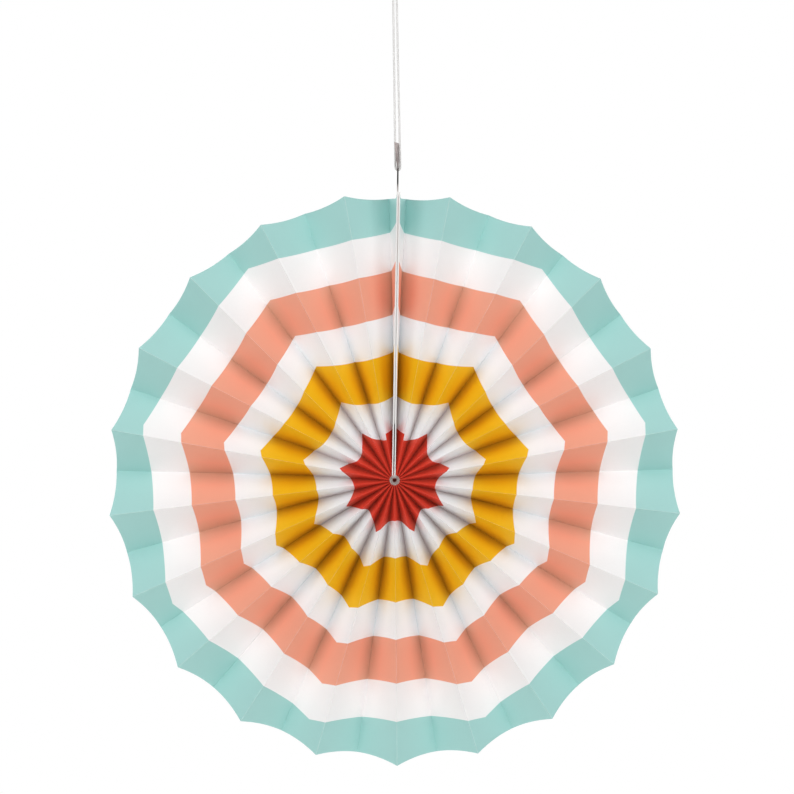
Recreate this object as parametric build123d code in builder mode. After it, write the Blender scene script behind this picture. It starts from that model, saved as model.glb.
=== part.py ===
from build123d import *
import os
from math import cos, hypot, pi, radians, sin, sqrt

# Driving dimensions, in millimetres and degrees

# The paper strip and its pleats
PAPER = 0.18
PLEAT_WIDTH = 30.0
RIDGES = 21
RIM_RIDGE_RADIUS = 150.0
RIM_NOTCH = 3.0
HOLE_RIDGE_RADIUS = 2.7
HOLE_NOTCH = 1.2

# The uneven spread of the pleats at the rim: how far the folds at the sides and at the bottom are off
SIDE_SHIFT = 1.8
BOTTOM_SHIFT = -1.1

# Each twisted panel is made of flat facets along its length
FACETS = 24
FACET_CROWDING = 1.6

# The seam, where the two end panels of the strip stand face to face
SEAM_HALF_ANGLE_AT_RIM = 1.8
SEAM_HALF_ANGLE_AT_HOLE = 30.0
END_PANEL_THICKNESS = 0.6
SEAM_GAP = 0.3

# How the disc hangs under the point that holds it up
HANG_DROP = 260.0
SEAM_LEAN = 0.6

# The card strip in the seam, and the tab that it makes above the rim
CARD_THICKNESS = 0.8
CARD_WIDTH = 14.0
CARD_START = 70.0
GLUE_GAP = 0.05
TAB_HEIGHT = 25.8
TAB_TWIST = 9.0
TWIST_AXIS_FROM_BACK = 3.4
TWIST_ABOVE_HOLE = 0.3
CORD_HOLE_RADIUS = 1.5
CORD_HOLE_ABOVE_RIM = 11.2
CORD_HOLE_FROM_BACK = 5.6

# The cord and the knot that ties its two ends
CORD_DIAMETER = 1.2
CORD_FREE_PLAY = 0.2
STRAND_CLEARANCE = 0.2
STRAND_GAP_AT_KNOT = 0.6
CORD_BEND_SHARE = 0.48
KNOT_RADIUS = 2.6
KNOT_HEIGHT = 6.0
KNOT_SEAT = 0.05
TAIL_LENGTH = 8.0
TAIL_SPLAY = 18.0

# Sizes that follow from them

FOLDS = 2 * RIDGES
RIM_VALLEY_RADIUS = RIM_RIDGE_RADIUS - RIM_NOTCH
HOLE_VALLEY_RADIUS = HOLE_RIDGE_RADIUS - HOLE_NOTCH
HOLE_STEP = (360 - 2 * SEAM_HALF_ANGLE_AT_HOLE) / FOLDS
RIM_STEP = (360 - 2 * SEAM_HALF_ANGLE_AT_RIM) / FOLDS
END_PANEL_INNER_FACE = SEAM_GAP / 2
CORD_RADIUS = CORD_DIAMETER / 2
CORD_HOLE_HEIGHT = RIM_RIDGE_RADIUS + CORD_HOLE_ABOVE_RIM
TWIST_HEIGHT = CORD_HOLE_HEIGHT + CORD_HOLE_RADIUS + TWIST_ABOVE_HOLE
STRAND_SPACING_AT_HOLE = CARD_THICKNESS + CORD_DIAMETER + 2 * STRAND_CLEARANCE
STRAND_SPACING_AT_KNOT = CORD_DIAMETER + STRAND_GAP_AT_KNOT
CORD_BEND_RADIUS = CORD_BEND_SHARE * STRAND_SPACING_AT_HOLE

# Places along a fold, as shares of its length, closer together where the pleats crowd in at the hole
STATIONS = [(step / FACETS) ** FACET_CROWDING for step in range(FACETS + 1)]

# The disc seen from the front: x to the right, y up along the seam, z towards the viewer
disc = Plane(
    origin=(0, 0, -HANG_DROP),
    x_dir=(cos(radians(SEAM_LEAN)), 0, -sin(radians(SEAM_LEAN))),
    z_dir=(0, -1, 0),
)


def mix(start, end, share):
    """The value or point that lies a share of the way from start to end."""
    return start + (end - start) * share


def polar(radius, angle):
    """Point of the disc's plane at a radius, at an angle clockwise from the seam."""
    return Vector(radius * sin(radians(angle)), radius * cos(radians(angle)))


def fold_ends(number):
    """Plan of one fold, its hole end and its rim end. Odd folds are ridges, even ones are valleys."""
    hole_radius, rim_radius = HOLE_VALLEY_RADIUS, RIM_VALLEY_RADIUS
    if number % 2:
        hole_radius, rim_radius = HOLE_RIDGE_RADIUS, RIM_RIDGE_RADIUS
    turn = pi * number / FOLDS
    shift = SIDE_SHIFT * sin(2 * turn) + BOTTOM_SHIFT * sin(turn)
    hole_end = polar(hole_radius, SEAM_HALF_ANGLE_AT_HOLE + number * HOLE_STEP)
    return hole_end, polar(rim_radius, SEAM_HALF_ANGLE_AT_RIM + number * RIM_STEP + shift)


def half_depth(share):
    """Half the depth of the pleats: the average panel keeps its width at the hole and at the rim."""
    ends = []
    for ridge_radius, valley_radius, step in (
        (HOLE_RIDGE_RADIUS, HOLE_VALLEY_RADIUS, HOLE_STEP),
        (RIM_RIDGE_RADIUS, RIM_VALLEY_RADIUS, RIM_STEP),
    ):
        across = (polar(ridge_radius, step) - polar(valley_radius, 0)).length
        ends.append(sqrt(PLEAT_WIDTH**2 - across**2) / 2)
    return mix(*ends, share)


def paper_depth(share):
    """Depth of the paper along the disc's axis, which is large where the panels stand steep."""
    first = mix(*fold_ends(RIDGES), share)
    second = mix(*fold_ends(RIDGES + 1), share)
    across = 2 * first.cross(second).length / (first.length + second.length)
    return PAPER * hypot(across, 2 * half_depth(share)) / across


def fold_faces(number, share):
    """The paper's front and back point at a fold, both inside the rosette's own depth."""
    plan = mix(*fold_ends(number), share)
    height = half_depth(share)
    depth = paper_depth(share)
    front = height if number % 2 else depth - height
    return [disc.from_local_coords(Vector(plan.X, plan.Y, z)) for z in (front, front - depth)]


def end_edge(side, share):
    """The outer and inner corner of an end panel's front edge, beside the card in the seam."""
    radius = mix(HOLE_RIDGE_RADIUS, RIM_RIDGE_RADIUS, share)
    corners = []
    for x in (END_PANEL_INNER_FACE + END_PANEL_THICKNESS, END_PANEL_INNER_FACE):
        corners.append(disc.from_local_coords(Vector(side * x, radius, half_depth(share))))
    return corners


def paper_outline(share):
    """Front and back corners of the paper's cut round the rosette, from one end panel to the other."""
    first_outer, first_inner = end_edge(1, share)
    last_outer, last_inner = end_edge(-1, share)
    folds = [fold_faces(number, share) for number in range(FOLDS + 1)]
    # At the seam's two valleys the end panel, which is doubled over, is thicker towards the card
    hem = disc.x_dir * END_PANEL_THICKNESS
    front = [first_outer] + [fold[0] for fold in folds] + [last_outer]
    back = [first_inner, folds[0][1] - hem]
    back += [fold[1] for fold in folds]
    back += [folds[-1][1] + hem, last_inner]
    return front, back


def facet(*corners):
    """The flat face inside three corners."""
    return Face(Wire.make_polygon(corners, close=True))


def side_facets(inner, outer, ridge_first=True):
    """Two facets for each stretch between two cuts, parted from the inner ridge to the outer valley."""
    faces = []
    for number in range(len(inner) - 1):
        a, b = inner[number], inner[number + 1]
        c, d = outer[number], outer[number + 1]
        if (number % 2 == 0) == ridge_first:
            faces += [facet(a, b, d), facet(a, d, c)]
        else:
            faces += [facet(a, b, c), facet(b, d, c)]
    return faces


def cut_facets(front, back):
    """The cut edge of the paper, at the hole or at the rim, panel by panel."""
    faces = []
    for number in range(1, FOLDS + 1):
        faces.append(facet(front[number], front[number + 1], back[number + 2]))
        faces.append(facet(front[number], back[number + 2], back[number + 1]))
    for near, far in ((front, back), (front[::-1], back[::-1])):
        faces.append(facet(far[0], near[0], near[1]))
        faces.append(facet(far[0], near[1], far[2]))
        faces.append(facet(far[0], far[2], far[1]))
    return faces


# The pleated paper strip, from the cuts across it at all its stations

outlines = [paper_outline(share) for share in STATIONS]
paper_faces = cut_facets(*outlines[0]) + cut_facets(*outlines[-1])
for (inner_front, inner_back), (outer_front, outer_back) in zip(outlines, outlines[1:]):
    paper_faces += side_facets(inner_front, outer_front)
    paper_faces += side_facets(inner_back[:2], outer_back[:2])
    paper_faces += side_facets(inner_back[1:-1], outer_back[1:-1])
    paper_faces += side_facets(inner_back[-2:], outer_back[-2:], ridge_first=False)
    for end in (0, -1):
        paper_faces += side_facets((inner_front[end], inner_back[end]), (outer_front[end], outer_back[end]))

with BuildPart() as pleated_paper:
    add(Solid(Shell(paper_faces)))

# The card strip: flat in the seam and up to the cord's hole, turned by the cord's pull above it


def card_room(share):
    """How far forward the card can stand between the end panels, which part towards the back."""
    widening = mix(*fold_ends(0), share).X - END_PANEL_THICKNESS - END_PANEL_INNER_FACE
    need = CARD_THICKNESS / 2 + GLUE_GAP - END_PANEL_INNER_FACE
    return half_depth(share) * (1 - 2 * need / widening)


card_start_share = (CARD_START - HOLE_RIDGE_RADIUS) / (RIM_RIDGE_RADIUS - HOLE_RIDGE_RADIUS)
card_front = min(card_room(card_start_share), card_room(1))
card_back = card_front - CARD_WIDTH
card_flat = Plane(disc.origin, x_dir=disc.z_dir, z_dir=disc.x_dir * -1)
cord_hole_depth = card_back + CORD_HOLE_FROM_BACK
twist_axis = card_back + TWIST_AXIS_FROM_BACK
card_middle = CARD_WIDTH / 2 - TWIST_AXIS_FROM_BACK


def tab_section(height, twist):
    """Plane across the tab at a height above the disc's middle, with its x along the card to the front."""
    forward = disc.z_dir * cos(radians(twist)) - disc.x_dir * sin(radians(twist))
    return Plane(disc.from_local_coords(Vector(0, height, twist_axis)), x_dir=forward, z_dir=disc.y_dir)


with BuildPart() as hanger_card:
    with BuildSketch(card_flat):
        with Locations((card_back, CARD_START)):
            Rectangle(CARD_WIDTH, TWIST_HEIGHT - CARD_START, align=(Align.MIN, Align.MIN))
        with Locations((cord_hole_depth, CORD_HOLE_HEIGHT)):
            Circle(CORD_HOLE_RADIUS, mode=Mode.SUBTRACT)
    extrude(amount=CARD_THICKNESS / 2, both=True)
    for height, twist in ((TWIST_HEIGHT, 0), (RIM_RIDGE_RADIUS + TAB_HEIGHT, TAB_TWIST)):
        with BuildSketch(tab_section(height, twist)):
            with Locations((card_middle, 0)):
                Rectangle(CARD_WIDTH, CARD_THICKNESS)
    loft(ruled=True)

# The cord: from the knot down one side of the card, through its hole and back up on the other side

bend_height = CORD_HOLE_HEIGHT + CORD_HOLE_RADIUS - CORD_FREE_PLAY - CORD_RADIUS
cord_points = [
    Vector(-STRAND_SPACING_AT_KNOT / 2, 0, 0),
    disc.from_local_coords(Vector(-STRAND_SPACING_AT_HOLE / 2, bend_height, cord_hole_depth)),
    disc.from_local_coords(Vector(STRAND_SPACING_AT_HOLE / 2, bend_height, cord_hole_depth)),
    Vector(STRAND_SPACING_AT_KNOT / 2, 0, 0),
]

with BuildPart() as hanging_cord:
    with BuildLine() as cord_route:
        FilletPolyline(*cord_points, radius=CORD_BEND_RADIUS)
    with BuildSketch(Plane(cord_points[0], z_dir=cord_points[1] - cord_points[0])):
        Circle(CORD_RADIUS)
    sweep()

# The knot: a tight round lump that sits on the two strands, with the cord's two cut ends above it

knot_top = KNOT_SEAT + KNOT_HEIGHT
knot_flat = STRAND_SPACING_AT_KNOT / 2 + CORD_RADIUS

with BuildPart() as cord_knot:
    with BuildSketch(Plane.XZ):
        with BuildLine():
            Polyline((knot_flat, KNOT_SEAT), (0, KNOT_SEAT), (0, knot_top), (knot_flat, knot_top))
            ThreePointArc((knot_flat, knot_top), (KNOT_RADIUS, knot_top / 2), (knot_flat, KNOT_SEAT))
        make_face()
    revolve(axis=Axis.Z)
    for side in (-1, 1):
        foot = Vector(side * STRAND_SPACING_AT_KNOT / 2, 0, knot_top - CORD_RADIUS)
        away = Vector(side * sin(radians(TAIL_SPLAY)), 0, cos(radians(TAIL_SPLAY)))
        with BuildSketch(Plane(foot, z_dir=away)):
            Circle(CORD_RADIUS)
        extrude(amount=TAIL_LENGTH)

pleated_paper.part.label = "pleated_paper"
hanger_card.part.label = "hanger_card"
hanging_cord.part.label = "hanging_cord"
cord_knot.part.label = "cord_knot"

os.makedirs("parts", exist_ok=True)
export_step(pleated_paper.part, "parts/pleated_paper.step")
export_step(hanger_card.part, "parts/hanger_card.step")
export_step(hanging_cord.part, "parts/hanging_cord.step")
export_step(cord_knot.part, "parts/cord_knot.step")

cord_length = sum(edge.length for edge in cord_route.edges())
print("cord bend radius", CORD_BEND_RADIUS, "length", cord_length)
print("cord volume", hanging_cord.part.volume, "section times length", pi * CORD_RADIUS**2 * cord_length)
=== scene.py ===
"""A pleated paper rosette with scalloped rings of colour, a card tab and a knotted cord."""

import math

import bpy
import numpy as np
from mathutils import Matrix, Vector


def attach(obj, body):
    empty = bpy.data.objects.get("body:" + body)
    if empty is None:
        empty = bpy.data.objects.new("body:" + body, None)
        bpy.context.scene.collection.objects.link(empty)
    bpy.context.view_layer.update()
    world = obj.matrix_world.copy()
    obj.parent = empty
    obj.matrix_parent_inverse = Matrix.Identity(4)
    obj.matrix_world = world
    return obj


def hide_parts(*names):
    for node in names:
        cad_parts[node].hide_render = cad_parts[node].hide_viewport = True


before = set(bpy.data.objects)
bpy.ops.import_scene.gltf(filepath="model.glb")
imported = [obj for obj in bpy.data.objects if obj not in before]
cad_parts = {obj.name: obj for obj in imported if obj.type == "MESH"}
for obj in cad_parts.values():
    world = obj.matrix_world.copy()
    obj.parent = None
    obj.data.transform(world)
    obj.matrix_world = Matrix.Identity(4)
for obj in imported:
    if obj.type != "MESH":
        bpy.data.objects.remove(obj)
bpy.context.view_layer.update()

bl_info = {
    "name": "Paper Fan Rosette",
    "version": (1, 0, 0),
    "blender": (4, 5, 0),
    "location": "3D View > Sidebar > Rosette",
    "description": "Builds a hanging rosette of pleated printed paper, with its card tab, cord and stage",
    "category": "Add Mesh",
}

MM = 0.001
BODY = "root"
# Edges between the paper's faces that turn by more than this are shaded sharp
SHARP_ANGLE = math.radians(20)
# Powers by which columns crowd to the front of the end panels, and rows to the hole
COLUMN_CROWDING = 1.8
ROW_CROWDING = 1.4
# Power of the bend in the two folds beside the seam
SEAM_BEND = 0.6
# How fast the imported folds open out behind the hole
HOLE_OPENING = 40
# How the panels' slow wave changes from one panel to the next, and from hole to rim
WAVE_STEP = 2.4
WAVE_RUN = 3.0
# Points along the wound cord of the knot
COIL_POINTS = 220


def srgb(code):
    """Scene-linear red, green and blue of a colour written as six hexadecimal digits."""
    shares = [int(code[place:place + 2], 16) / 255 for place in (0, 2, 4)]
    return tuple(s / 12.92 if s <= 0.04045 else ((s + 0.055) / 1.055) ** 2.4 for s in shares)


def length(name, description, default):
    """A length in metres that a user may change."""
    return bpy.props.FloatProperty(
        name=name, description=description, default=default, subtype="DISTANCE", unit="LENGTH", precision=5
    )


def angle(name, description, degrees):
    """An angle that a user may change, stored in radians."""
    return bpy.props.FloatProperty(
        name=name, description=description, default=math.radians(degrees), subtype="ANGLE", unit="ROTATION"
    )


def number(name, description, default):
    """A plain number that a user may change."""
    return bpy.props.FloatProperty(name=name, description=description, default=default, precision=4)


def count(name, description, default):
    """A whole number that a user may change."""
    return bpy.props.IntProperty(name=name, description=description, default=default, min=1)


def power(name, description, default):
    """The power of a lamp in watts that a user may change."""
    return bpy.props.FloatProperty(name=name, description=description, default=default, unit="POWER")


def colour(name, description, code):
    """A colour that a user may change."""
    return bpy.props.FloatVectorProperty(
        name=name, description=description, default=srgb(code), subtype="COLOR", size=3, min=0, max=1
    )


class RosettePaperSettings(bpy.types.PropertyGroup):
    """Sizes, folds and print of the paper strip"""

    ridges: count("Ridges", "Front folds round the disc", 21)
    pleat_width: length("Pleat width", "Paper from one fold to the next", 30 * MM)
    thickness: length("Paper", "Thickness of the paper", 0.18 * MM)
    rim_ridge: length("Rim at ridges", "Radius of the disc at its front folds", 150 * MM)
    rim_valley: length("Rim at valleys", "Radius of the disc at its back folds", 147 * MM)
    hole_lip: length("Hole lip", "Radius of the cut white lip of the middle hole", 2.7 * MM)
    hole_front: length("Hole at front", "Radius of the middle hole at the front", 1.2 * MM)
    hole_back: length("Hole at back", "Radius at which the packed folds meet at the back", 0.12 * MM)
    hole_floor: length("Hole floor", "From the lip's lower edge to where the packed folds meet", 1.0 * MM)
    lip_slope: number("Lip slope", "How steeply the lip goes down into the hole", 1.5)
    groove_limit: number("Groove limit", "Depth of a packed groove over its width", 1.9)
    edge_hollow: length("Edge hollow", "How far the rim is cut in between two folds", 1.1 * MM)
    panel_wave: length("Panel wave", "How far the panels wander from flat", 0.35 * MM)
    seam_rim: angle("Seam at rim", "Half the angle that the seam takes at the rim", 1.8)
    seam_hole: angle("Seam at hole", "Half the angle that the seam takes at the hole", 30)
    side_shift: angle("Side shift", "How far the folds at the sides are off an even spread", 1.8)
    bottom_shift: angle("Bottom shift", "How far the folds at the bottom are off an even spread", -1.1)
    lean: angle("Lean", "How far the seam leans to the right", 0.6)
    drop: length("Drop", "From the knot down to the middle of the disc", 260 * MM)
    seam_at_hole: length("Seam line at hole", "How far the seam is to the right at the hole", -0.5 * MM)
    seam_at_rim: length("Seam line at rim", "How far the seam is to the right at the rim", 0.45 * MM)
    seam_lift: length("Seam lift", "How far the folds beside the seam are pulled forward half-way", 4 * MM)
    end_panel: length("End panel", "Thickness of the doubled end panels in the seam", 0.6 * MM)
    end_gap: length("End gap", "From the seam's line to an end panel", 0.3 * MM)
    glue_from: length("Glue from", "Radius from which the end panels are glued close to the front", 30 * MM)
    card_from: length("Card from", "Radius from which the card stands between the end panels", 68 * MM)
    card_room: length("Card room", "From the middle of the card to an end panel beside it", 0.47 * MM)
    tip_drop: length("Tip drop", "How far the end panels are cut down beside their front tips", 3.5 * MM)
    tip_width: number("Tip width", "Width of those tips as a share of the panel", 0.035)
    columns: count("Columns", "Columns of faces across one panel", 10)
    rows: count("Rows", "Rows of faces from the hole to the rim", 56)
    scallops: number("Scallops", "Scallops of the print along the strip", 8.955)
    scallop_start: number("Scallop start", "Fold at which a scallop's point lies", 3.783)
    scallop_height: length("Scallop height", "From the low of a scallop to its point", 7.98 * MM)
    star_step: length("Star step", "How much further out the red reaches beside the seam", 3.2 * MM)
    ring_edges: bpy.props.FloatVectorProperty(
        name="Ring edges",
        description="Radius of each ring's edge at the lows of its scallops",
        size=6,
        default=(21.4 * MM, 40.9 * MM, 64.0 * MM, 83.6 * MM, 106.6 * MM, 126.8 * MM),
        subtype="XYZ",
        unit="LENGTH",
    )
    ring_softness: length("Ring softness", "Width of the soft edge between two inks", 0.25 * MM)
    crack_width: length("Crack width", "How far from a ridge the ink is cracked", 0.34 * MM)
    crack_share: number("Crack share", "How much of the white paper shows in the cracks", 0.45)
    red: colour("Red", "Ink of the innermost ring", "E54631")
    # Painted shade: a darker, duller copy of the red, which the print goes to towards the valleys
    red_painted_shade: colour("Red in folds", "Duller ink of the innermost ring down in the folds", "C9543F")
    yellow: colour("Yellow", "Ink of the second ring", "F3BF12")
    # Painted shade: a darker, duller copy of the yellow towards the valleys
    yellow_painted_shade: colour("Yellow in folds", "Duller ink of the second ring down in the folds", "D6A422")
    coral: colour("Coral", "Ink of the third ring", "F0A68C")
    # Painted shade: a duller, greyer copy of the coral towards the valleys
    coral_painted_shade: colour("Coral in folds", "Duller ink of the third ring down in the folds", "DAAA92")
    aqua: colour("Aqua", "Ink of the outermost ring", "A6D3CF")
    white: colour("White", "Unprinted paper inside the outermost ring", "F6F4F4")
    # Painted light: a cooler copy of the white paper, which offsets the warm light that the inks bounce onto
    # the inner rings
    white_against_bounce: colour("Inner white", "Unprinted paper between the inner rings", "F7F9FB")
    # Painted shade: a darker, warmer copy of the white round the star towards the valleys
    white_painted_shade: colour("White in folds", "Unprinted paper down in the folds round the star", "E7DEDD")
    back: colour("Back", "Bare back and cut edges of the paper", "F3F1EF")
    # Painted shade: the white cut edges round the hole are painted this grey
    lip: colour("Lip", "Cut edges of the packed folds round the hole", "D2C9C5")
    # Painted shade: the deep inside of the hole is painted this dark red-brown
    core: colour("Core", "Deep inside of the hole", "9A4438")
    glue: colour("Glue", "Inside of the seam, where the end panels are glued", "EFE7E4")
    # Painted shade: the inside of the seam turns this dark towards the hole
    seam_shade: colour("Deep glue", "Inside of the seam close to the hole", "5A4844")


class RosetteCardSettings(bpy.types.PropertyGroup):
    """Finish of the card strip in the seam"""

    board: colour("Board", "Colour of the grey card", "C6BAB8")
    # The fleck colour also serves as the painted shade round the hole
    fleck: colour("Fleck", "Darker fibres in the card", "665C5A")
    # Painted shade: the card's front edge is painted near black between the paper and the hole
    edge: colour("Edge", "Colour of the card's dark cut edge", "0F0D0D")
    # Painted light: the card's front edge inside the seam is painted pale against its shade
    glued: colour("Glued edge", "Colour of the card's edge in the seam", "F2EAE7")
    front: length("Front", "From the middle of the disc's depth to the card's front edge", 8.42 * MM)
    bare_from: length("Bare from", "Height, from the knot, where the card leaves the paper", -109.5 * MM)
    hole_at: length("Hole at", "Height, from the knot, of the hole in the card", -98 * MM)
    edge_width: length("Edge width", "Width of the band along the card's front edge", 0.35 * MM)
    # Painted shade: how far from its hole the card is painted darker
    hole_shade: length("Handled", "How far from its hole the card is darkened by handling", 14 * MM)


class RosetteCordSettings(bpy.types.PropertyGroup):
    """Sizes and finish of the cord and its knot"""

    diameter: length("Diameter", "Diameter of the cord", 1.2 * MM)
    full_length: length("Length", "Length of the cord from one end at the knot to the other", 197.6 * MM)
    hole_height: length("Hole height", "From the middle of the disc up to the cord in its hole", 161.9 * MM)
    spread_at_hole: length("Spread at hole", "Between the middles of the two strands at the hole", 2.4 * MM)
    spread_at_knot: length("Spread at knot", "Between the middles of the two strands at the knot", 1.8 * MM)
    turn_spread: length("Turn spread", "Width of the cord's turn in the hole", 2.9 * MM)
    turn_drop: length("Turn drop", "How far that turn sits below the rest of the hole's run", 0.2 * MM)
    straight: number("Straight", "Diameters above the hole from which each strand is straight", 6)
    lay: length("Lay", "Length of one full twist of the cord", 3.6 * MM)
    strands: count("Strands", "Strands twisted together", 3)
    groove: number("Groove", "Depth of the grooves between strands over the cord's radius", 0.22)
    faces_round: count("Faces round", "Faces round the cord", 24)
    face_length: length("Face length", "Length of each face along the cord", 0.3 * MM)
    knot_height: length("Knot height", "Height of the knot without its cut ends", 6.05 * MM)
    coil_radius: length("Coil radius", "From the knot's middle to the middle of the wound cord", 1.95 * MM)
    coil_foot: length("Coil foot", "Height at which the winding begins", 0.75 * MM)
    turns: number("Turns", "Turns of cord wound round the strands in the knot", 3.6)
    tail: length("Tail", "Length of each cut end above the knot", 7.7 * MM)
    splay: angle("Splay", "How far each cut end leans out", 18)
    cotton: colour("Cotton", "Colour of the cord", "E4E3E2")
    # Painted shade: the colour in the grooves between the strands
    painted_groove_shade: colour("Cotton shade", "Colour between the strands", "C6C3C0")


class RosetteStageSettings(bpy.types.PropertyGroup):
    """Floor, light and camera"""

    floor_drop: length("Floor drop", "From the knot down to the floor", 0.8)
    floor_radius: length("Floor radius", "Radius of the pale floor", 1.6)
    floor_tint: colour("Floor", "Colour of the floor", "F4F3F1")
    sky: number("Sky", "Strength of the even light all round", 0.41)
    side_power: power("Side lights", "Power of each soft light in front, at the left and the right", 7.0)
    front_power: power("Front light", "Power of the soft light in front", 6.0)
    high_power: power("High light", "Power of the soft light above the front", 5.6)
    back_power: power("Back lights", "Power of each soft light behind", 10.5)
    lamp_distance: length("Lamp distance", "From each lamp to the middle of the disc", 1.8)
    lamp_size: length("Lamp size", "Side of each square lamp", 0.9)
    camera_distance: length("Camera distance", "From the camera to the middle of the disc", 1.549)
    camera_rise: number("Camera rise", "Angle of the camera above the disc's axis, in radians", 0.0599)
    camera_pitch: number("Camera pitch", "Angle of the camera below level, in radians", 0.03223)
    camera_side: length("Camera side", "How far the camera stands to the right", 1.24 * MM)
    lens: number("Lens", "Focal length in millimetres on a 36 mm sensor", 133.67)


class Value:
    """A number in a node tree: sums, products and powers of it add Math nodes."""

    def __init__(self, kit, socket):
        self.kit = kit
        self.socket = socket

    def math(self, operation, *others, clamp=False):
        """The result of one Math node on this value and the others."""
        node = self.kit.node(
            "ShaderNodeMath",
            {"operation": operation, "use_clamp": clamp},
            dict(enumerate((self, *others))),
        )
        return Value(self.kit, node.outputs[0])

    def reflected(self, operation, first):
        """The result of one Math node on a plain number and this value."""
        node = self.kit.node("ShaderNodeMath", {"operation": operation}, {0: first, 1: self})
        return Value(self.kit, node.outputs[0])

    def __add__(self, other):
        return self.math("ADD", other)

    def __radd__(self, other):
        return self.reflected("ADD", other)

    def __sub__(self, other):
        return self.math("SUBTRACT", other)

    def __rsub__(self, other):
        return self.reflected("SUBTRACT", other)

    def __mul__(self, other):
        return self.math("MULTIPLY", other)

    def __rmul__(self, other):
        return self.reflected("MULTIPLY", other)

    def __truediv__(self, other):
        return self.math("DIVIDE", other)

    def __pow__(self, other):
        return self.math("POWER", other)

    def __abs__(self):
        return self.math("ABSOLUTE")

    def fraction(self):
        """What is left of the value over the whole number below it."""
        return self.math("FRACT")

    def clamped(self):
        """The value kept between 0 and 1."""
        return self.math("ADD", 0.0, clamp=True)

    def over(self, limit, softness):
        """0 well below a limit and 1 well above it, with a soft step between."""
        return ((self - limit) / softness + 0.5).clamped()


class Kit:
    """Adds nodes to one node tree."""

    def __init__(self, tree):
        self.tree = tree
        tree.nodes.clear()

    def node(self, kind, settings=None, inputs=None):
        """A node of a kind, with its settings and then the values or links of its inputs."""
        made = self.tree.nodes.new(kind)
        for name, setting in (settings or {}).items():
            setattr(made, name, setting)
        for key, value in (inputs or {}).items():
            self.feed(made.inputs[key], value)
        return made

    def feed(self, socket, value):
        """Links an output to a socket, or sets the socket's own value."""
        if isinstance(value, Value):
            value = value.socket
        if isinstance(value, bpy.types.NodeSocket):
            self.tree.links.new(value, socket)
        else:
            socket.default_value = value

    def value(self, node, output=0):
        """One output of a node as a number for expressions."""
        return Value(self, node.outputs[output])

    def blend(self, share, first, second, way="MIX"):
        """Colour that goes from the first to the second with a share."""
        first, second = (c if isinstance(c, bpy.types.NodeSocket) else (*c, 1.0) for c in (first, second))
        settings = {"data_type": "RGBA", "blend_type": way}
        return self.node("ShaderNodeMix", settings, {0: share, 6: first, 7: second}).outputs[2]

    def noise(self, place, scale, detail=3.0, roughness=0.55):
        """Fractal noise from 0 to 1 at a place."""
        inputs = {"Vector": place, "Scale": scale, "Detail": detail, "Roughness": roughness}
        return self.value(self.node("ShaderNodeTexNoise", None, inputs))

    def place(self, scale=(1.0, 1.0, 1.0)):
        """Object coordinates, stretched by a scale."""
        place = self.node("ShaderNodeTexCoord").outputs["Object"]
        return self.node("ShaderNodeMapping", None, {"Vector": place, "Scale": scale}).outputs[0]

    def strip(self, name):
        """The two numbers of a piece's own UV map, and the map itself."""
        uv = self.node("ShaderNodeUVMap", {"uv_map": name}).outputs[0]
        parts = self.node("ShaderNodeSeparateXYZ", None, {"Vector": uv})
        return self.value(parts, 0), self.value(parts, 1), uv

    def vector(self, operation, *inputs):
        """One Vector Math node on vectors."""
        return self.node("ShaderNodeVectorMath", {"operation": operation}, dict(enumerate(inputs)))

    def distance(self, place, kept):
        """Length of a vector, measured in the directions that are kept."""
        flat = self.vector("MULTIPLY", place, kept).outputs[0]
        return self.value(self.vector("LENGTH", flat), "Value")

    def from_axis(self, drop):
        """Distance from the disc's axis, which runs front to back at a drop below the knot."""
        place = self.vector("ADD", self.place(), (0.0, 0.0, drop)).outputs[0]
        return self.distance(place, (1.0, 0.0, 1.0))

    def grey(self, share):
        """A grey of a given lightness."""
        return self.node("ShaderNodeCombineColor", None, {0: share, 1: share, 2: share}).outputs[0]

    def seen(self):
        """1 for rays from the camera, in mirrors and through glass, and 0 for light on surfaces."""
        path = self.node("ShaderNodeLightPath")
        rays = [self.value(path, name) for name in ("Is Camera Ray", "Is Glossy Ray", "Is Transmission Ray")]
        return rays[0].math("MAXIMUM", rays[1]).math("MAXIMUM", rays[2])


class Finish(Kit):
    """A material and its Principled shader."""

    def __init__(self, name, **constants):
        self.material = bpy.data.materials.new(name)
        self.material.use_nodes = True
        super().__init__(self.material.node_tree)
        sockets = {key.replace("_", " "): value for key, value in constants.items()}
        self.shader = self.node("ShaderNodeBsdfPrincipled", None, sockets)
        self.output = self.node("ShaderNodeOutputMaterial", None, {"Surface": self.shader.outputs[0]})

    def wear(self, base, roughness, height, strength, depth):
        """Feeds the shader's colour and roughness, and a bump of a given depth from a height."""
        bump = self.node("ShaderNodeBump", None, {"Strength": strength, "Distance": depth, "Height": height})
        inputs = {"Base Color": base, "Roughness": roughness, "Normal": bump.outputs[0]}
        for key, value in inputs.items():
            self.feed(self.shader.inputs[key], value)
        return self.material


def paper_grain(kit):
    """Fibres, soft clouds and fine grain, which the printed and the bare side of the paper share."""
    fibre = kit.noise(kit.place(), scale=900.0, detail=4.0, roughness=0.6)
    cloud = kit.noise(kit.place(), scale=45.0, detail=2.0)
    grain = fibre + kit.noise(kit.place(), scale=2600.0, detail=2.0) * 0.5
    return fibre, cloud, grain


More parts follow.
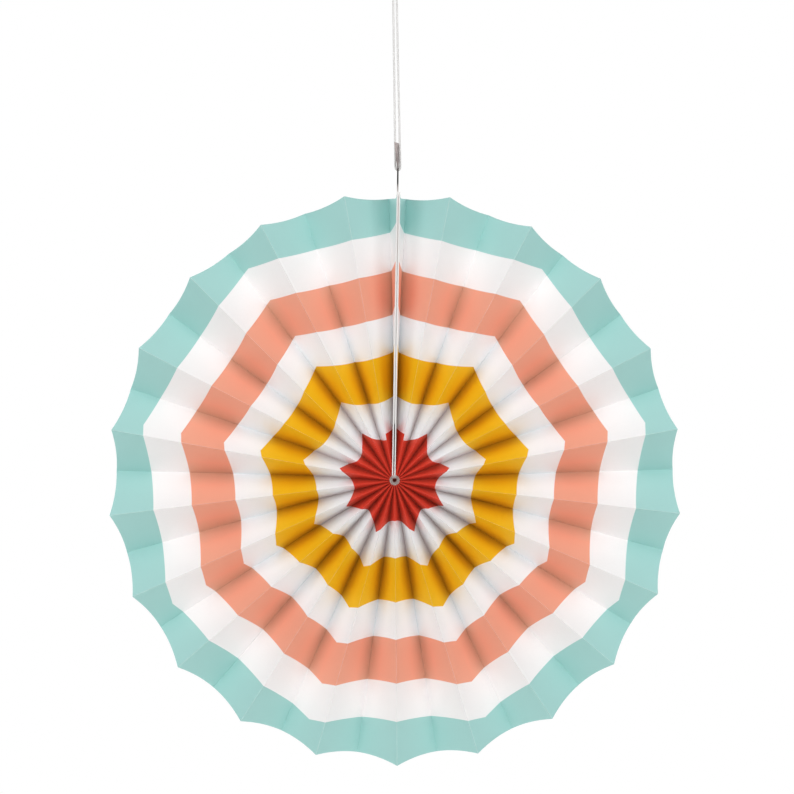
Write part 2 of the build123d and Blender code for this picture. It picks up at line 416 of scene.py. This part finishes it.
def printed_paper(paper):
    """Uncoated paper with scalloped rings of ink, which is cracked a little along the ridges. The inks and the
    white round the star carry painted shade towards the valleys, and the lip round the hole is painted grey as
    shade.

    The UV map gives the way along the strip, from which the fold number comes, and the radius. A ring begins
    where the radius passes the ring's edge by the scallop's height times the square of the lobe, which goes
    from -1 to 1 between the points of two scallops.
    """
    kit = Finish("printed_paper", Specular_IOR_Level=0.25)
    fibre, cloud, grain = paper_grain(kit)
    across, along, _ = kit.strip("strip")
    panels = 2 * paper.ridges + 2
    fold = across * panels - 1.0
    lobe = ((fold - paper.scallop_start) / (panels / paper.scallops)).fraction() * 2.0 - 1.0
    height = along * paper.rim_ridge - lobe * lobe * paper.scallop_height
    # The red star reaches further out on the two panels at each end of the strip
    beside_seam = 1.0 - (0.5 - abs(across - 0.5)).over(2 / panels, softness=0.02 / panels)
    star_height = height - beside_seam * paper.star_step
    from_ridge = abs((fold * 0.5).fraction() - 0.5) * (2 * paper.pleat_width)
    # Painted shade: near the valleys the yellow, the coral and the white round the star go to their darker
    # copies
    low = from_ridge.over(0.8 * paper.pleat_width, softness=0.4 * paper.pleat_width)
    # The white between the inner rings is the cooler copy, painted against bounced light
    rings = (
        (star_height, kit.blend(low, paper.white_against_bounce, paper.white_painted_shade)),
        (height, kit.blend(low, paper.yellow, paper.yellow_painted_shade)),
        (height, paper.white_against_bounce),
        (height, kit.blend(low, paper.coral, paper.coral_painted_shade)),
        (height, paper.white),
        (height, paper.aqua),
    )
    # Painted shade: the red goes to its darker copy all the way from ridge to valley
    base = kit.blend(from_ridge / paper.pleat_width, paper.red, paper.red_painted_shade)
    for edge, (reach, ink) in zip(paper.ring_edges, rings):
        base = kit.blend(reach.over(edge, paper.ring_softness), base, ink)
    mottle = (fibre * 0.06 + cloud * 0.06 + 0.94).clamped()
    base = kit.blend(1.0, base, kit.grey(mottle), "MULTIPLY")
    worn = kit.noise(kit.place(), scale=260.0, detail=2.0)
    crack = (1.0 - from_ridge / paper.crack_width).clamped() * (worn * 0.9 + 0.15).clamped()
    base = kit.blend(crack * paper.crack_share, base, paper.white)
    # Painted shade: inside the lip the front takes the grey lip colour
    lip = 1.0 - kit.from_axis(paper.drop).over(0.98 * paper.hole_lip, softness=0.2 * MM)
    base = kit.blend(lip, base, paper.lip)
    return kit.wear(base, 0.62 + fibre * 0.2 + crack * 0.1, grain, strength=0.22, depth=0.05 * MM)


def bare_paper(paper):
    """The same paper without print, for the strip's back, its cut edges and the glued inside of the seam, with
    painted shade on the cut edges in the seam, inside the seam towards the hole and deep in the hole.
    """
    kit = Finish("bare_paper", Specular_IOR_Level=0.25)
    fibre, cloud, grain = paper_grain(kit)
    across, _, _ = kit.strip("strip")
    from_end = 0.5 - abs(across - 0.5)
    cut_edge = 1.0 - from_end.over(0.001, softness=0.001)
    # Painted shade: the cut edges at the strip's two ends, in the seam, are darker by 0.16
    mottle = (fibre * 0.07 + cloud * 0.05 + 0.94 - cut_edge * 0.16).clamped()
    base = kit.blend(1.0, paper.back, kit.grey(mottle), "MULTIPLY")
    from_axis = kit.from_axis(paper.drop)
    # Glue colour on the inside of the seam, going to painted shade towards the hole
    glue = kit.blend(from_axis.over(paper.glue_from, softness=8 * MM), paper.seam_shade, paper.glue)
    glued = from_end.over(0.0005, softness=0.0008) * (1.0 - from_end.over(0.0075, softness=0.003))
    base = kit.blend(glued, base, glue)
    # Painted shade deep in the hole
    core = 1.0 - from_axis.over(0.95 * paper.hole_front, softness=0.2 * MM)
    base = kit.blend(core, base, paper.core)
    return kit.wear(base, 0.7 + fibre * 0.2, grain, strength=0.3, depth=0.05 * MM)


def grey_board(card):
    """Grey card with long fibres and darker flecks and painted shade round its hole, with a cut edge at the
    front that has a near-black band of painted shade between the paper and the hole and a pale band of painted
    light inside the seam.
    """
    kit = Finish("grey_board", Specular_IOR_Level=0.2)
    fibre = kit.noise(kit.place((1.0, 1.0, 0.35)), scale=700.0, detail=4.0, roughness=0.65)
    fleck = kit.noise(kit.place(), scale=420.0, detail=2.0).over(0.62, softness=0.12)
    cloud = kit.noise(kit.place(), scale=60.0, detail=2.0)
    parts = kit.node("ShaderNodeSeparateXYZ", None, {"Vector": kit.place()})
    depth, height = kit.value(parts, 1), kit.value(parts, 2)
    # Painted shade, darkest at the card's hole
    hole_shade = (1.0 - abs(height - card.hole_at) / card.hole_shade).clamped()
    # Flecks, fibres and clouds of the card, with the painted shade round the hole
    worn = fleck * 0.4 + fibre * 0.2 + cloud * 0.15 + hole_shade * 0.8
    base = kit.blend(worn.clamped(), card.board, card.fleck)
    front_edge = (0.0 - depth).over(card.front - card.edge_width, softness=0.3 * MM)
    bare = height.over(card.bare_from, softness=8 * MM)
    below_hole = 1.0 - height.over(card.hole_at, softness=4 * MM)
    # Painted shade on the front edge, between where the card leaves the paper and its hole
    dark = front_edge * bare * below_hole * (fibre * 0.3 + 0.8).clamped()
    base = kit.blend(dark, base, card.edge)
    # Painted light on the front edge inside the seam
    base = kit.blend(front_edge * (1.0 - bare), base, card.glued)
    return kit.wear(base, 0.75 + fibre * 0.15, fibre, strength=0.35, depth=0.06 * MM)


def cotton(cord):
    """Twisted cotton with painted shade in the grooves between the strands, and fine fibres along them."""
    kit = Finish("cotton_cord", Specular_IOR_Level=0.2, Sheen_Weight=0.25)
    around, _, both = kit.strip("strands")
    ridge = abs((around * cord.strands).fraction() * 2.0 - 1.0)
    groove = (ridge ** 6.0).clamped()
    stretched = kit.node("ShaderNodeMapping", None, {"Vector": both, "Scale": (60.0, 9.0, 1.0)})
    fibre = kit.noise(stretched.outputs[0], scale=6.0, detail=4.0, roughness=0.6)
    # Painted shade in the grooves between the strands
    base = kit.blend((groove * 0.4 + fibre * 0.25).clamped(), cord.cotton, cord.painted_groove_shade)
    return kit.wear(base, 0.8 + fibre * 0.15, fibre - groove, strength=0.3, depth=0.05 * MM)


def put(name, points, faces, materials):
    """A new piece at the origin, in metres, that rides on the rosette's body."""
    mesh = bpy.data.meshes.new(name)
    mesh.from_pydata(points, [], faces)
    mesh.validate()
    piece = bpy.data.objects.new(name, mesh)
    bpy.context.scene.collection.objects.link(piece)
    for material in materials:
        mesh.materials.append(material)
    mesh.shade_smooth()
    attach(piece, BODY)
    return piece


def add_uv(mesh, name, pairs):
    """A UV map from one pair of numbers for each vertex."""
    corners = np.zeros(len(mesh.loops), int)
    mesh.loops.foreach_get("vertex_index", corners)
    layer = mesh.uv_layers.new(name=name)
    layer.data.foreach_set("uv", pairs[corners].astype(np.float32).ravel())


def strips(indices):
    """Quads of a grid of vertex numbers, turned so that columns and then rows give the outward side."""
    near, far = indices[:-1], indices[1:]
    return np.stack([near[:, :-1], far[:, :-1], far[:, 1:], near[:, 1:]], axis=-1).reshape(-1, 4)


class PleatedStrip:
    """The folded strip as a function of the fold number and the share of the way from hole to rim.

    Each fold is a straight line from the hole to the rim. Odd folds are ridges at the front, even ones are
    valleys at the back, and fold -1 and the one after the last valley are the strip's two end edges in the
    seam. A panel is the straight-ruled surface between two neighbouring folds.
    """

    def __init__(self, paper):
        self.paper = paper
        self.last = 2 * paper.ridges
        numbers = np.arange(-1, self.last + 2)
        self.ridge = numbers % 2 == 1
        turn = np.pi * numbers / self.last
        shift = paper.side_shift * np.sin(2 * turn) + paper.bottom_shift * np.sin(turn)
        self.hole_angle = paper.seam_hole + numbers * (2 * np.pi - 2 * paper.seam_hole) / self.last
        self.rim_angle = paper.seam_rim + numbers * (2 * np.pi - 2 * paper.seam_rim) / self.last + shift
        self.rim_radius = np.where(self.ridge, paper.rim_ridge, paper.rim_valley)
        self.hole_radius = np.full(len(numbers), paper.hole_front)
        self.rim_end = self.fold_ends(self.rim_radius, self.rim_angle, paper.seam_at_rim)
        self.hole_end = self.fold_ends(self.hole_radius, self.hole_angle, paper.seam_at_hole)

    def fold_ends(self, radius, turn, seam):
        """Plan of all the folds' ends at their radii and angles, with the strip's own ends in the seam."""
        ends = np.stack([radius * np.sin(turn), radius * np.cos(turn)], -1)
        edge = self.paper.end_gap + self.paper.end_panel
        ends[0] = seam + edge, radius[0]
        ends[-1] = seam - edge, radius[-1]
        return ends

    def seam_line(self, share):
        """How far the seam's line at the front is to the right, on its straight way from hole to rim."""
        return self.paper.seam_at_hole + (self.paper.seam_at_rim - self.paper.seam_at_hole) * share

    def half_depth(self, share):
        """Half the pleats' depth: the average panel keeps its width at the hole and at the rim."""
        paper = self.paper
        step = (2 * math.pi - 2 * paper.seam_rim) / self.last
        sideways = paper.rim_ridge * math.sin(step)
        inward = paper.rim_ridge * math.cos(step) - paper.rim_valley
        across = math.hypot(sideways, inward)
        hole, rim = paper.pleat_width / 2, math.sqrt(paper.pleat_width**2 - across**2) / 2
        return hole + (rim - hole) * share

    def paper_depth(self, share):
        """Depth of the paper along the disc's axis.

        It is the pleats' whole depth less that of the groove between two ridges, which ends at the paper's
        thickness over its slope. Where the pleats crowd in at the hole they press on each other, and the
        groove stays within a limit over its own width. The two go into each other smoothly, by the sum of
        their powers.
        """
        smoothing = 8
        paper = self.paper
        height = 2 * self.half_depth(share)
        across = (paper.hole_front + (paper.rim_ridge - paper.hole_front) * share) * 2 * math.pi / self.last
        free = height - np.minimum(paper.thickness * np.hypot(across, height) / across, 0.5 * height)
        packed = 2 * across * paper.groove_limit
        return height - (free**-smoothing + packed**-smoothing) ** (-1 / smoothing)

    def surface(self, fold, share):
        """Front point, paper depth, print radius and lip's dip at fold numbers, which needn't be whole.

        Each fold goes straight from the hole to the rim, but the two folds beside the seam bend in to it and
        are pulled forward a little half-way. Between folds the point goes straight from one fold to the next
        at the same share, with a slow wave across the panel that is zero at its folds, at the hole and at the
        rim. Inside the lip the front goes down into the hole by the dip.
        """
        paper = self.paper
        panel = np.clip(np.floor(fold).astype(int), -1, self.last)
        part = fold - panel
        depth, half = self.paper_depth(share), self.half_depth(share)
        ends = []
        for row in (panel + 1, panel + 2):
            beside_seam = (row == 1) | (row == self.last + 1)
            plan = self.hole_end[row] + (self.rim_end[row] - self.hole_end[row]) * share[..., None]
            plan[..., 0] *= np.where(beside_seam, share**SEAM_BEND, 1.0)
            height = np.where(self.ridge[row], half, depth - half)
            height += beside_seam * paper.seam_lift * 4 * share * (1 - share)
            radius = self.hole_radius[row] + (self.rim_radius[row] - self.hole_radius[row]) * share
            ends.append(np.concatenate([plan, height[..., None], radius[..., None]], -1))
        found = ends[0] + (ends[1] - ends[0]) * part[..., None]
        wave = np.sin(np.pi * part) * np.sin(np.pi * share) * np.sin(WAVE_STEP * panel + WAVE_RUN * share)
        inside = (panel >= 0) & (panel < self.last)
        dip = np.maximum(0.0, paper.hole_lip - found[..., 3]) * paper.lip_slope
        found[..., 2] += inside * wave * paper.panel_wave - dip
        return found[..., :3], depth, found[..., 3], dip

    def hang(self, points):
        """Points of the disc's own frame (right, up the seam, to the viewer) in the rosette's frame."""
        lean = self.paper.lean
        right = np.array([math.cos(lean), 0.0, -math.sin(lean)])
        up = np.array([math.sin(lean), 0.0, math.cos(lean)])
        forward = np.array([0.0, -1.0, 0.0])
        middle = np.array([0.0, 0.0, -self.paper.drop])
        return middle + points[..., :1] * right + points[..., 1:2] * up + points[..., 2:] * forward

    def columns(self):
        """Fold number of each column of vertices, with the end panels' columns crowded towards the front."""
        cross = self.paper.columns
        fold = np.arange((self.last + 2) * cross + 1) / cross - 1.0
        crowded = (np.arange(cross + 1) / cross) ** COLUMN_CROWDING
        fold[: cross + 1] = crowded - 1.0
        fold[-cross - 1 :] = self.last + 1.0 - crowded[::-1]
        return fold

    def from_tip(self, fold):
        """Share of the way back from the front tip of an end panel, and 1 on all other panels."""
        return np.clip(np.minimum(fold + 1.0, self.last + 1.0 - fold), 0.0, 1.0)

    def shares(self, fold):
        """Share of the way from hole to rim at each row of each column, with the rows crowded at the hole.

        Between two folds the rim is cut in by a parabola. The end panels are cut down close beside their
        front tips by an exponential curve.
        """
        paper = self.paper
        part = fold - np.floor(fold)
        inside = (fold > 0) & (fold < self.last)
        hollow = np.where(inside, 4 * part * (1 - part), 0.0) * paper.edge_hollow
        from_tip = self.from_tip(fold)
        cut_down = 1.0 - np.exp(-from_tip / paper.tip_width) - from_tip
        hollow += np.where((fold < 0) | (fold > self.last), cut_down, 0.0) * paper.tip_drop
        crowded = (np.arange(paper.rows + 1) / paper.rows) ** ROW_CROWDING
        return crowded * (1.0 - hollow / paper.rim_ridge)[:, None]

    def behind(self, front, depth, dip, share):
        """Points behind the front by the paper's depth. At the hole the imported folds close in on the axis."""
        paper = self.paper
        squeeze = (1.0 - paper.hole_back / paper.hole_front) * np.exp(-HOLE_OPENING * share)
        back = front.copy()
        back[..., :2] *= 1.0 - squeeze[..., None]
        back[..., 2] += dip - depth
        back[:, 0, 2] = front[:, 0, 2] - paper.hole_floor
        return back

    def seam_walls(self, fold, front, depth, radius, dip, share):
        """Points of the end panels' inner walls, which face each other in the seam.

        A wall stands off its front by the doubled panel's thickness, which is less towards the back and more
        in a bell-shaped band of glue. It stays on its own side of the seam's line, and beside the card it
        leaves room for it.
        """
        paper = self.paper
        taper, swelling, card_depth = 0.65, 2.0, 0.12
        from_tip = self.from_tip(fold)[:, None]
        line = self.seam_line(share)
        side = np.sign(self.last / 2 - fold[:, None])
        outer = radius > paper.glue_from
        glue_at, glue_width = np.where(outer, 0.055, 0.3), np.where(outer, 0.03, 0.12)
        glued = np.exp(-(((from_tip - glue_at) / glue_width) ** 2))
        thickness = paper.end_panel * (1.0 - taper * from_tip + swelling * glued)
        beside_card = (share > paper.card_from / paper.rim_ridge) & (from_tip > card_depth)
        room = np.where(beside_card, paper.card_room + np.abs(line), 0.01 * MM)
        wall = front.copy()
        wall[..., 0] = line + side * np.maximum(np.abs(front[..., 0] - line) - thickness, room)
        wall[..., 2] += (dip - depth) * from_tip
        wall[:, 0, 2] = front[:, 0, 2] - paper.hole_floor * from_tip[:, 0]
        return wall


class ROSETTE_OT_fold_paper(bpy.types.Operator):
    """Folds the printed strip into the rosette"""

    bl_idname = "rosette.fold_paper"
    bl_label = "Fold the paper"

    def execute(self, context):
        paper = context.scene.rosette_paper
        strip = PleatedStrip(paper)
        fold = strip.columns()
        share = strip.shares(fold)
        across = np.repeat(fold[:, None], paper.rows + 1, axis=1)
        front, depth, radius, dip = strip.surface(across, share)
        back = strip.behind(front, depth, dip, share)
        wall = strip.seam_walls(fold, front, depth, radius, dip, share)
        # Behind the front lie one inner wall, the back and the other wall, which meet at two columns
        column = np.arange(len(fold))
        first, last = paper.columns, len(fold) - 1 - paper.columns
        behind = np.concatenate([column[: first + 1], column[first : last + 1], column[last:]])
        back = np.concatenate([wall[: first + 1], back[first : last + 1], wall[last:]])
        at = np.arange((len(front) + len(back)) * (paper.rows + 1)).reshape(-1, paper.rows + 1)
        front_at, back_at = at[: len(front)], at[len(front) :]
        printed = strips(front_at)
        bare = [strips(back_at)[:, ::-1]]
        corners = []
        # Cut edges at the rim and the hole, with a triangle at each column where a wall meets the back
        meets = np.diff(behind) == 0
        for row, order in ((paper.rows, 1), (0, -1)):
            ahead = front_at[behind, row]
            after = back_at[:, row]
            edge = np.stack([ahead[:-1], ahead[1:], after[1:], after[:-1]], -1)
            bare.append(edge[~meets, ::order])
            corners += edge[meets][:, [0, 2, 3]][:, ::order].tolist()
        bare.append(strips(np.stack([back_at[0], front_at[0]])))
        bare.append(strips(np.stack([front_at[-1], back_at[-1]])))
        piece = put(
            "paper_rosette",
            strip.hang(np.concatenate([front, back])).reshape(-1, 3).tolist(),
            np.concatenate([printed, *bare]).tolist() + corners,
            [printed_paper(paper), bare_paper(paper)],
        )
        mesh = piece.data
        kinds = np.ones(len(mesh.polygons), np.int32)
        kinds[: len(printed)] = 0
        mesh.polygons.foreach_set("material_index", kinds)
        mesh.set_sharp_from_angle(angle=SHARP_ANGLE)
        drawn = np.concatenate([column, behind])
        places = np.stack([(across[drawn] + 1) / (strip.last + 2), radius[drawn] / paper.rim_ridge], -1)
        add_uv(mesh, "strip", places.reshape(-1, 2))
        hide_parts("pleated_paper")
        return {"FINISHED"}


class ROSETTE_OT_finish_card(bpy.types.Operator):
    """Gives the card strip its finish"""

    bl_idname = "rosette.finish_card"
    bl_label = "Finish the card"

    def execute(self, context):
        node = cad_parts["hanger_card"]
        node.data.materials.clear()
        node.data.materials.append(grey_board(context.scene.rosette_card))
        return {"FINISHED"}


def way_along(path):
    """Length of a path from its start to each of its points."""
    steps = np.linalg.norm(np.diff(path, axis=0), axis=1)
    return np.concatenate([[0.0], np.cumsum(steps)])


def rope(path, side, cord):
    """Vertices, faces and UV pairs of a twisted cord along a path.

    At each point of the path the section is a rounded curve with one lobe for each strand, in the plane
    square to the path, and it turns once for each lay along the way. Side is a direction at each point that
    isn't along the path.
    """
    ahead = np.gradient(path, axis=0)
    ahead /= np.linalg.norm(ahead, axis=1, keepdims=True)
    normal = side - (side * ahead).sum(1, keepdims=True) * ahead
    normal /= np.linalg.norm(normal, axis=1, keepdims=True)
    third = np.cross(ahead, normal)
    reach = way_along(path)[:, None]
    around = np.arange(cord.faces_round)[None] / cord.faces_round * 2 * np.pi
    lobe = np.abs(np.cos(cord.strands / 2 * around))
    radius = cord.diameter / 2 * (1 - cord.groove * (1 - lobe))
    turned = around + 2 * np.pi * reach / cord.lay
    points = (
        path[:, None]
        + (radius * np.cos(turned))[..., None] * normal[:, None]
        + (radius * np.sin(turned))[..., None] * third[:, None]
    )
    at = np.arange(turned.size).reshape(turned.shape)
    ring = np.concatenate([at, at[:, :1]], axis=1)
    faces = strips(ring)[:, ::-1].tolist() + [at[0].tolist()[::-1], at[-1].tolist()]
    pairs = np.stack(np.broadcast_arrays(around / (2 * np.pi), reach / cord.lay), -1)
    return points.reshape(-1, 3), faces, pairs.reshape(-1, 2)


def evenly(path, step):
    """The same path with its points an even step apart."""
    reach = way_along(path)
    wanted = np.linspace(0.0, reach[-1], max(2, int(round(reach[-1] / step)) + 1))
    return np.stack([np.interp(wanted, reach, path[:, axis]) for axis in range(3)], -1)


def nurbs_path(points):
    """Points along one open NURBS spline of order 3 that has the given control points."""
    curve = bpy.data.curves.new("cord_route", "CURVE")
    curve.dimensions = "3D"
    curve.resolution_u = 48
    spline = curve.splines.new("NURBS")
    spline.points.add(len(points) - 1)
    spline.points.foreach_set("co", [part for point in points for part in (*point, 1.0)])
    spline.order_u = 3
    spline.use_endpoint_u = True
    holder = bpy.data.objects.new("cord_route", curve)
    bpy.context.scene.collection.objects.link(holder)
    bpy.context.view_layer.update()
    line = bpy.data.meshes.new_from_object(holder)
    found = np.zeros(len(line.vertices) * 3)
    line.vertices.foreach_get("co", found)
    bpy.data.objects.remove(holder)
    bpy.data.meshes.remove(line)
    return found.reshape(-1, 3)


class ROSETTE_OT_hang_cord(bpy.types.Operator):
    """Lays the cord through the card's hole and ties its ends"""

    bl_idname = "rosette.hang_cord"
    bl_label = "Hang the cord"

    def execute(self, context):
        cord = context.scene.rosette_cord
        finish = cotton(cord)
        strip = PleatedStrip(context.scene.rosette_paper)
        runs = []
        for side in (-0.5, 0.5):
            end = np.array([side * cord.spread_at_knot, 0.0, 0.0])
            corner = strip.hang(np.array([side * cord.spread_at_hole, cord.hole_height, 0.0]))
            along = (end - corner) / np.linalg.norm(end - corner)
            # In the hole the cord stands off the card a little more, and sits a little lower
            turn = strip.hang(np.array([side * cord.turn_spread, cord.hole_height - cord.turn_drop, 0.0]))
            runs.append([end, corner + cord.straight * cord.diameter * along, turn])
        route = runs[0] + runs[1][::-1]
        path = evenly(nurbs_path(route), cord.face_length)
        side = np.tile([0.0, 1.0, 0.0], (len(path), 1))
        points, faces, pairs = rope(path, side, cord)
        piece = put("cotton_cord", points.tolist(), faces, [finish])
        add_uv(piece.data, "strands", pairs)
        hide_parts("hanging_cord")
        knot = self.tie_knot(cord, finish)
        return {"FINISHED"}

    def tie_knot(self, cord, finish):
        """The knot: cord wound in a tight coil round the two strands, which leave it as two cut ends."""
        top = cord.knot_height - cord.diameter / 2
        runs = []
        for sign in (-1, 1):
            foot = np.array([sign * cord.spread_at_knot / 2, 0.0, 0.0])
            neck = foot + np.array([0.0, 0.0, top])
            tip = neck + cord.tail * np.array([sign * math.sin(cord.splay), 0.0, math.cos(cord.splay)])
            path = evenly(np.stack([foot, neck, tip]), cord.face_length)
            runs.append((path, np.tile([0.0, 1.0, 0.0], (len(path), 1))))
        turn = np.linspace(0.0, cord.turns * 2 * math.pi, COIL_POINTS)
        share = turn / turn[-1]
        # The wound cord begins and ends tucked in close to the strands
        tuck_share, tuck_radius = 0.08, 0.35
        tuck = np.clip(np.minimum(share, 1 - share) / tuck_share, tuck_radius, 1.0)
        outward = np.stack([np.cos(turn), np.sin(turn), 0 * turn], -1)
        coil = outward * (cord.coil_radius * tuck)[:, None]
        coil[:, 2] = cord.coil_foot + (top - cord.coil_foot - 0.1 * MM) * share
        runs.append((coil, outward))
        parts, faces, pairs, start = [], [], [], 0
        for path, side in runs:
            points, quads, uv = rope(path, side, cord)
            faces += [[corner + start for corner in face] for face in quads]
            start += len(points)
            parts.append(points)
            pairs.append(uv)
        piece = put("cord_knot_tied", np.concatenate(parts).tolist(), faces, [finish])
        add_uv(piece.data, "strands", np.concatenate(pairs))
        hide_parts("cord_knot")
        return piece


class ROSETTE_OT_set_stage(bpy.types.Operator):
    """Sets up the pale floor, the soft light and the camera"""

    bl_idname = "rosette.set_stage"
    bl_label = "Set the stage"

    def execute(self, context):
        stage = context.scene.rosette_stage
        context.scene.view_settings.view_transform = "Standard"
        self.lay_floor(context, stage)
        self.light_sky(context, stage)
        middle = Vector((0.0, 0.0, -context.scene.rosette_paper.drop))
        # Each lamp's name, its turn and rise in degrees, and its power
        lamps = (
            ("left_light", -40, 16, stage.side_power),
            ("right_light", 40, 16, stage.side_power),
            ("front_light", 0, 5, stage.front_power),
            ("high_light", 0, 50, stage.high_power),
            ("back_left_light", -145, 20, stage.back_power),
            ("back_right_light", 145, 20, stage.back_power),
        )
        for name, turn, rise, watts in lamps:
            self.hang_lamp(context, name, middle, math.radians(turn), math.radians(rise), watts)
        self.place_camera(context, stage, middle)
        return {"FINISHED"}

    def place_camera(self, context, stage, middle):
        """A camera in front of the disc, a little above its axis, that looks down by its pitch."""
        data = bpy.data.cameras.new("photo_camera")
        data.sensor_width = 36.0
        data.lens = stage.lens
        camera = bpy.data.objects.new("photo_camera", data)
        context.scene.collection.objects.link(camera)
        distance, rise = stage.camera_distance, stage.camera_rise
        camera.location = middle + Vector(
            (stage.camera_side, -distance * math.cos(rise), distance * math.sin(rise))
        )
        camera.rotation_euler = (math.pi / 2 - stage.camera_pitch, 0.0, 0.0)
        context.scene.camera = camera

    def lay_floor(self, context, stage):
        """A round floor, pale under the rosette and fading into the white background at its edge."""
        rings, steps = 12, 72
        radius = np.linspace(0.0, stage.floor_radius, rings + 1)[1:, None]
        turn = np.arange(steps)[None] / steps * 2 * np.pi
        points = np.stack(
            [radius * np.cos(turn), radius * np.sin(turn), 0 * radius * turn - stage.floor_drop], -1
        ).reshape(-1, 3)
        at = np.arange(rings * steps).reshape(rings, steps)
        ring = np.concatenate([at, at[:, :1]], axis=1)
        faces = strips(ring).tolist() + [at[0].tolist()]
        mesh = bpy.data.meshes.new("studio_floor")
        mesh.from_pydata(points.tolist(), [], faces)
        floor = bpy.data.objects.new("studio_floor", mesh)
        context.scene.collection.objects.link(floor)
        kit = Finish("studio_floor", Specular_IOR_Level=0.1)
        outward = kit.distance(kit.place(), (1.0, 1.0, 0.0)) / stage.floor_radius
        fade = outward.over(0.62, softness=0.7)
        grain = kit.noise(kit.place(), scale=180.0, detail=2.0)
        kit.wear((*stage.floor_tint, 1.0), 0.85 + grain * 0.1, grain, strength=0.05, depth=0.1 * MM)
        white = kit.node("ShaderNodeEmission", None, {"Color": (1.0, 1.0, 1.0, 1.0), "Strength": 1.0})
        clear = kit.node("ShaderNodeBsdfTransparent")
        seen = kit.seen()
        veil = kit.node("ShaderNodeMixShader", None, {0: seen, 1: clear.outputs[0], 2: white.outputs[0]})
        matt = kit.shader.outputs[0]
        mixed = kit.node("ShaderNodeMixShader", None, {0: fade, 1: matt, 2: veil.outputs[0]})
        kit.feed(kit.output.inputs["Surface"], mixed.outputs[0])
        mesh.materials.append(kit.material)

    def light_sky(self, context, stage):
        """Even light from all round, which the camera sees as plain white."""
        world = bpy.data.worlds.new("studio_sky")
        context.scene.world = world
        world.use_nodes = True
        kit = Kit(world.node_tree)
        strength = kit.seen() * (1.0 - stage.sky) + stage.sky
        sky = kit.node("ShaderNodeBackground", None, {"Color": (1.0, 1.0, 1.0, 1.0), "Strength": strength})
        kit.node("ShaderNodeOutputWorld", None, {"Surface": sky.outputs[0]})

    def hang_lamp(self, context, name, middle, turn, rise, watts):
        """A square soft lamp that looks at the middle from a turn to the right of the front and a rise."""
        stage = context.scene.rosette_stage
        data = bpy.data.lights.new(name, "AREA")
        data.shape = "SQUARE"
        data.size = stage.lamp_size
        data.energy = watts
        lamp = bpy.data.objects.new(name, data)
        context.scene.collection.objects.link(lamp)
        level = math.cos(rise)
        away = Vector((math.sin(turn) * level, -math.cos(turn) * level, math.sin(rise)))
        lamp.location = middle + away * stage.lamp_distance
        lamp.rotation_euler = (-away).to_track_quat("-Z", "Y").to_euler()


class ROSETTE_PT_panel(bpy.types.Panel):
    """Lists the rosette's settings and steps"""

    bl_idname = "ROSETTE_PT_panel"
    bl_label = "Paper Fan Rosette"
    bl_space_type = "VIEW_3D"
    bl_region_type = "UI"
    bl_category = "Rosette"

    def draw(self, context):
        for name, operator in STEPS:
            box = self.layout.box()
            box.operator(operator.bl_idname)
            settings = getattr(context.scene, name)
            for key in settings.bl_rna.properties.keys():
                if key not in ("rna_type", "name"):
                    box.prop(settings, key)


STEPS = (
    ("rosette_paper", ROSETTE_OT_fold_paper),
    ("rosette_card", ROSETTE_OT_finish_card),
    ("rosette_cord", ROSETTE_OT_hang_cord),
    ("rosette_stage", ROSETTE_OT_set_stage),
)
SETTINGS = {
    "rosette_paper": RosettePaperSettings,
    "rosette_card": RosetteCardSettings,
    "rosette_cord": RosetteCordSettings,
    "rosette_stage": RosetteStageSettings,
}
CLASSES = (*SETTINGS.values(), *(operator for _, operator in STEPS), ROSETTE_PT_panel)


def register():
    """Registers the classes and gives the scene its settings."""
    for item in CLASSES:
        bpy.utils.register_class(item)
    for name, group in SETTINGS.items():
        setattr(bpy.types.Scene, name, bpy.props.PointerProperty(type=group))


def unregister():
    """Takes the settings and the classes away again."""
    for name in SETTINGS:
        delattr(bpy.types.Scene, name)
    for item in reversed(CLASSES):
        bpy.utils.unregister_class(item)


def main():
    """Registers the add-on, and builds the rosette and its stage."""
    register()
    bpy.ops.rosette.fold_paper()
    bpy.ops.rosette.finish_card()
    bpy.ops.rosette.hang_cord()
    bpy.ops.rosette.set_stage()


if __name__ == "__main__":
    main()
